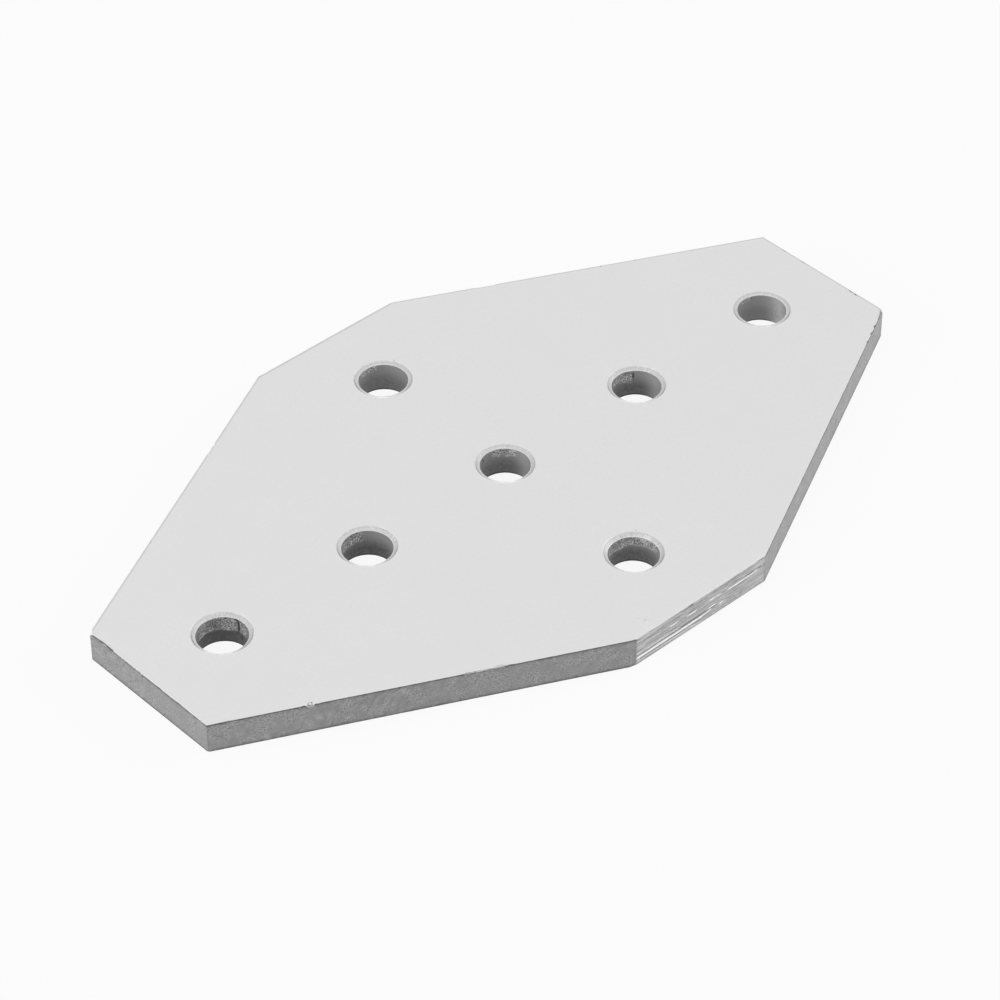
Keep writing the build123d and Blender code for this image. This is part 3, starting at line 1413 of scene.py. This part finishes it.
@dataclass(frozen=True)
class Finish:
    """One metal finish: its tones, gloss, grain, tool strokes, its tone for darker mottle and painted
    shade, and its tone for scuffing and painted highlights.
    """

    surface: Surface
    dark: float
    light: float
    worn_and_highlit: float
    mottle_and_shade_tone: float
    metallic: float
    roughness: float
    grain: float
    patch: float
    stroke: tuple[float, float, float] = (1 * MM, 1 * MM, 1 * MM)
    stroke_turn: tuple[float, float, float] = (0.0, 0.0, 0.0)
    stroke_share: float = 0.0
    patchiness: float = 0.5
    contrast: float = 2.0
    grain_bump: float = 0.0
    stroke_bump: float = 0.0
    bump_depth: float = 0.01 * MM
    mask_patch: float = 0.7 * MM
    burnish: float = 0.0
    burnish_gloss: float = 0.25
    gloss_drift: float = 0.05
    specular: float = 0.5
    follows_side: bool = True

    def material(self, groups: SharedGroups) -> bpy.types.Material:
        """Make the finish's material.

        Args:
            groups: The shared shader groups.

        Returns:
            The new material.
        """
        material = bpy.data.materials.new(self.surface.name.lower())
        material.use_nodes = True
        sheet = NodeSheet(material.node_tree)
        if self.follows_side:
            place = sheet.add("ShaderNodeUVMap", uv_map=UV_MAP).outputs["UV"]
        else:
            place = sheet.add("ShaderNodeTexCoord").outputs["Object"]
        patches = {"Grain": self.grain, "Patch": self.patch, "Patchiness": self.patchiness}
        grain = sheet.place_group(groups.grain, place, patches)
        strokes = sheet.place_group(
            groups.strokes, place, {"Turn": self.stroke_turn, "Stroke": self.stroke}
        )
        wear_and_highlight, shade = (
            sheet.place_group(group, place, {"Patch": self.mask_patch}).outputs["Mask"]
            for group in (groups.wear_and_highlight, groups.shade)
        )
        first = sheet.math("MULTIPLY", grain.outputs["Tone"], 1 - self.stroke_share)
        tone = sheet.math("MULTIPLY_ADD", strokes.outputs["Tone"], self.stroke_share, first)
        spread = 0.5 / self.contrast
        tone = sheet.ramp(tone, 0.0, 1.0, (0.5 - spread, 0.5 + spread))
        colour = sheet.blend(tone, grey(self.dark), grey(self.light))
        # The shade mask darkens towards the mottle-and-shade tone, for darker mottle and painted shade;
        # the next mask brightens towards a tone for scuffing and painted highlights.
        colour = sheet.blend(shade, colour, grey(self.mottle_and_shade_tone))
        colour = sheet.blend(wear_and_highlight, colour, grey(self.worn_and_highlit))
        dullest, glossiest = self.roughness + self.gloss_drift, self.roughness - self.gloss_drift
        rough = sheet.ramp(tone, dullest, glossiest, (0.0, 1.0))
        rubbed_and_highlit = sheet.math("MULTIPLY", wear_and_highlight, self.burnish)
        rough = sheet.math("MULTIPLY_ADD", rubbed_and_highlit, -self.burnish_gloss, rough)
        metal = sheet.math("MULTIPLY_ADD", rubbed_and_highlit, 1 - self.metallic, self.metallic)
        height = sheet.math(
            "ADD",
            sheet.math("MULTIPLY", grain.outputs["Height"], self.grain_bump),
            sheet.math("MULTIPLY", strokes.outputs["Height"], self.stroke_bump),
        )
        bump = sheet.add("ShaderNodeBump", {"Height": height, "Distance": self.bump_depth})
        inputs = {
            "Base Color": colour,
            "Metallic": metal,
            "Roughness": rough,
            "Specular IOR Level": self.specular,
            "Normal": bump.outputs[0],
        }
        shader = sheet.add("ShaderNodeBsdfPrincipled", inputs)
        sheet.add("ShaderNodeOutputMaterial", {"Surface": shader.outputs[0]})
        return material


# The sawn, drawn and drilled tones sit well below the satin face's: partly duller finishes, partly
# painted shade on the upright and inner surfaces.
FINISHES = (
    Finish(
        Surface.SATIN_FACE,
        dark=0.8,
        light=0.87,
        worn_and_highlit=0.95,
        mottle_and_shade_tone=0.12,
        metallic=0.15,
        roughness=0.65,
        grain=0.3 * MM,
        patch=9 * MM,
        patchiness=0.3,
        contrast=1.0,
        grain_bump=1.0,
        bump_depth=0.003 * MM,
        follows_side=False,
        specular=0.2,
    ),
    Finish(
        Surface.DRAWN_FLAT,
        dark=0.22,
        light=0.725,
        worn_and_highlit=0.95,
        mottle_and_shade_tone=0.12,
        metallic=0.6,
        roughness=0.42,
        grain=0.22 * MM,
        patch=4 * MM,
        stroke=(2.6 * MM, 0.11 * MM, 1.0),
        stroke_share=0.8,
        patchiness=0.3,
        contrast=4.5,
        stroke_bump=1.0,
        bump_depth=0.02 * MM,
        burnish=1.0,
    ),
    Finish(
        Surface.SAWN_CUT,
        dark=0.255,
        light=0.457,
        worn_and_highlit=0.8,
        mottle_and_shade_tone=0.13,
        metallic=0.5,
        roughness=0.6,
        grain=0.30 * MM,
        patch=3 * MM,
        stroke=(1.4 * MM, 0.35 * MM, 1.0),
        stroke_turn=(0.0, 0.0, math.radians(62)),
        stroke_share=0.25,
        patchiness=1.0,
        contrast=2.9,
        grain_bump=0.7,
        stroke_bump=0.5,
        bump_depth=0.03 * MM,
    ),
    Finish(
        Surface.DRILLED_WALL,
        dark=0.36,
        light=0.46,
        worn_and_highlit=0.60,
        mottle_and_shade_tone=0.1,
        metallic=0.3,
        roughness=0.5,
        grain=0.5 * MM,
        patch=2 * MM,
        stroke=(3 * MM, 0.3 * MM, 1.0),
        stroke_share=0.6,
        contrast=1.5,
    ),
    Finish(
        Surface.TORN_WALL_AND_FOOT_SHADE,
        dark=0.14,
        light=0.85,
        worn_and_highlit=0.88,
        mottle_and_shade_tone=0.03,
        metallic=0.3,
        roughness=0.5,
        grain=0.26 * MM,
        patch=2 * MM,
        patchiness=0.6,
        contrast=5.0,
        grain_bump=1.0,
        bump_depth=0.03 * MM,
        mask_patch=0.4 * MM,
        specular=0.25,
    ),
    Finish(
        Surface.COUNTERSINK,
        dark=0.42,
        light=0.66,
        worn_and_highlit=0.97,
        mottle_and_shade_tone=0.14,
        metallic=0.6,
        roughness=0.6,
        grain=0.3 * MM,
        patch=3 * MM,
        stroke=(4 * MM, 0.16 * MM, 1.0),
        stroke_share=0.5,
        patchiness=0.8,
        contrast=2.4,
        stroke_bump=0.6,
    ),
)


# ---------------------------------------------------------------------------------------------
# Light, floor and camera
# ---------------------------------------------------------------------------------------------


def orbit(azimuth: float, elevation: float, distance: float) -> Vector:
    """Return a place round the origin; azimuth 0 is on the near side and 90 on the right."""
    a, e = math.radians(azimuth), math.radians(elevation)
    return distance * Vector((math.sin(a) * math.cos(e), -math.cos(a) * math.cos(e), math.sin(e)))


@dataclass(frozen=True)
class SoftBox:
    """A square studio lamp that faces the plate."""

    name: str
    azimuth: float
    elevation: float
    distance: float
    size: float
    power: float

    def place(self) -> None:
        """Put the lamp in the scene."""
        lamp = bpy.data.lights.new(self.name, "AREA")
        lamp.size = self.size
        lamp.energy = self.power
        holder = add_object(self.name, lamp)
        holder.location = orbit(self.azimuth, self.elevation, self.distance)
        holder.rotation_euler = holder.location.to_track_quat("Z", "Y").to_euler()


@dataclass
class Studio:
    """Pale floor, even surroundings and soft lamps."""

    ambient: float = 0.28
    floor_size: float = 3.0
    floor_tone: float = 0.9
    floor_glow: float = 0.9
    lamps: Sequence[SoftBox] = (
        SoftBox("overhead_lamp", -50.0, 85.0, 1.2, 0.9, 3.1),
        SoftBox("left_lamp", -110.0, 25.0, 1.2, 0.8, 6.2),
        SoftBox("right_lamp", 65.0, 20.0, 1.2, 0.8, 6.7),
        SoftBox("back_lamp", 170.0, 45.0, 1.2, 0.8, 0.9),
    )

    def background_rays(self, sheet: NodeSheet) -> bpy.types.NodeSocket:
        """Return 1 for the rays that show the background: camera, glossy, transmission."""
        path = sheet.add("ShaderNodeLightPath").outputs
        mirrored = sheet.math("MAXIMUM", path["Is Glossy Ray"], path["Is Transmission Ray"])
        return sheet.math("MAXIMUM", path["Is Camera Ray"], mirrored)

    def world(self) -> None:
        """Light the plate evenly from all round and show white behind it."""
        world = bpy.data.worlds.new("studio_surroundings")
        world.use_nodes = True
        sheet = NodeSheet(world.node_tree)
        light = sheet.add("ShaderNodeBackground", {"Color": grey(1.0), "Strength": self.ambient})
        white = sheet.add("ShaderNodeBackground", {"Color": grey(1.0), "Strength": 1.0})
        shown = sheet.add(
            "ShaderNodeMixShader",
            {0: self.background_rays(sheet), 1: light.outputs[0], 2: white.outputs[0]},
        )
        sheet.add("ShaderNodeOutputWorld", {"Surface": shown.outputs[0]})
        bpy.context.scene.world = world

    def floor(self) -> bpy.types.Object:
        """Lay a white floor that takes the plate's shadow and is clear from below.

        Returns:
            The floor's object.
        """
        bm = bmesh.new()
        bmesh.ops.create_grid(bm, x_segments=1, y_segments=1, size=self.floor_size / 2)
        mesh = bpy.data.meshes.new("floor")
        bm.to_mesh(mesh)
        bm.free()
        material = bpy.data.materials.new("white_floor")
        material.use_nodes = True
        sheet = NodeSheet(material.node_tree)
        lit = sheet.add("ShaderNodeBsdfDiffuse", {"Color": grey(self.floor_tone)})
        glow = sheet.add("ShaderNodeEmission", {"Color": grey(1.0), "Strength": 1.0})
        share = sheet.math("MULTIPLY", self.background_rays(sheet), self.floor_glow)
        pale = sheet.add("ShaderNodeMixShader", {0: share, 1: lit.outputs[0], 2: glow.outputs[0]})
        clear = sheet.add("ShaderNodeBsdfTransparent")
        below = sheet.add("ShaderNodeNewGeometry").outputs["Backfacing"]
        whole = sheet.add(
            "ShaderNodeMixShader", {0: below, 1: pale.outputs[0], 2: clear.outputs[0]}
        )
        sheet.add("ShaderNodeOutputMaterial", {"Surface": whole.outputs[0]})
        mesh.materials.append(material)
        return add_object("floor", mesh)

    def build(self) -> bpy.types.Object:
        """Set up the surroundings, the lamps and the floor.

        Returns:
            The floor's object.
        """
        bpy.context.scene.view_settings.view_transform = "Standard"
        self.world()
        for lamp in self.lamps:
            lamp.place()
        return self.floor()


@dataclass(frozen=True)
class Viewpoint:
    """A long lens looking down on the plate from its front left."""

    aim: tuple[float, float]
    azimuth: float = -42.72
    elevation: float = 40.57
    distance: float = 623.5 * MM
    lean: float = -0.23
    lens: float = 139.1
    sensor: float = 36.0
    clip: tuple[float, float] = (0.05, 10.0)

    def place(self, height: float) -> None:
        """Put the camera in the scene, aimed at a point of that height."""
        view = bpy.data.cameras.new("camera")
        view.lens = self.lens
        view.sensor_width = self.sensor
        view.clip_start, view.clip_end = self.clip
        camera = add_object("camera", view)
        away = orbit(self.azimuth, self.elevation, self.distance)
        camera.location = Vector((*self.aim, height)) + away
        level = (-away).to_track_quat("-Z", "Y")
        turn = Matrix.Rotation(math.radians(self.lean), 4, "Z")
        camera.rotation_euler = (level.to_matrix().to_4x4() @ turn).to_euler()
        bpy.context.scene.camera = camera


# ---------------------------------------------------------------------------------------------
# Putting it together
# ---------------------------------------------------------------------------------------------


def screw_holes(record: dict, thickness: float) -> list[ScrewHole]:
    """Read the screw holes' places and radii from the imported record.

    Args:
        record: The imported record.
        thickness: The plate's thickness.

    Returns:
        One hole for each bore among the mounts.
    """
    bores = [mount for mount in record["mounts"] if mount["kind"] == "bore"]
    return [
        ScrewHole(
            centre=Vector(bore["pos_m"][:2]),
            radius=bore["dims"]["r_mm"] * MM,
            thickness=thickness,
            work=HOLE_WORK.get(bore["name"], PLAIN_WORK),
            seed=3.7 + 11.3 * number,
        )
        for number, bore in enumerate(bores)
    ]


def main() -> None:
    """Build the plate, dress it, and set up the studio and the camera."""
    logging.basicConfig(level=logging.INFO, format="%(name)s: %(message)s")
    low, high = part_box(PLATE_NODE)
    thickness = high.z
    outline = Outline(half_length=high.x, half_width=high.y)
    holes = screw_holes(frame["record"], thickness)
    sawn_plate = SawnPlate(Blank(outline, thickness), holes)
    plate = sawn_plate.build()
    sawn_plate.dress(plate, FINISHES)
    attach(plate, "root")
    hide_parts(PLATE_NODE)
    plate.data.calc_loop_triangles()
    log.info("%s: %d triangles, %d holes", plate.name, len(plate.data.loop_triangles), len(holes))
    floor = Studio().build()
    log.info("%s laid, lamps and surroundings set", floor.name)
    Viewpoint(aim=(-6.9 * MM, -6.18 * MM)).place(thickness)


if __name__ == "__main__":
    main()
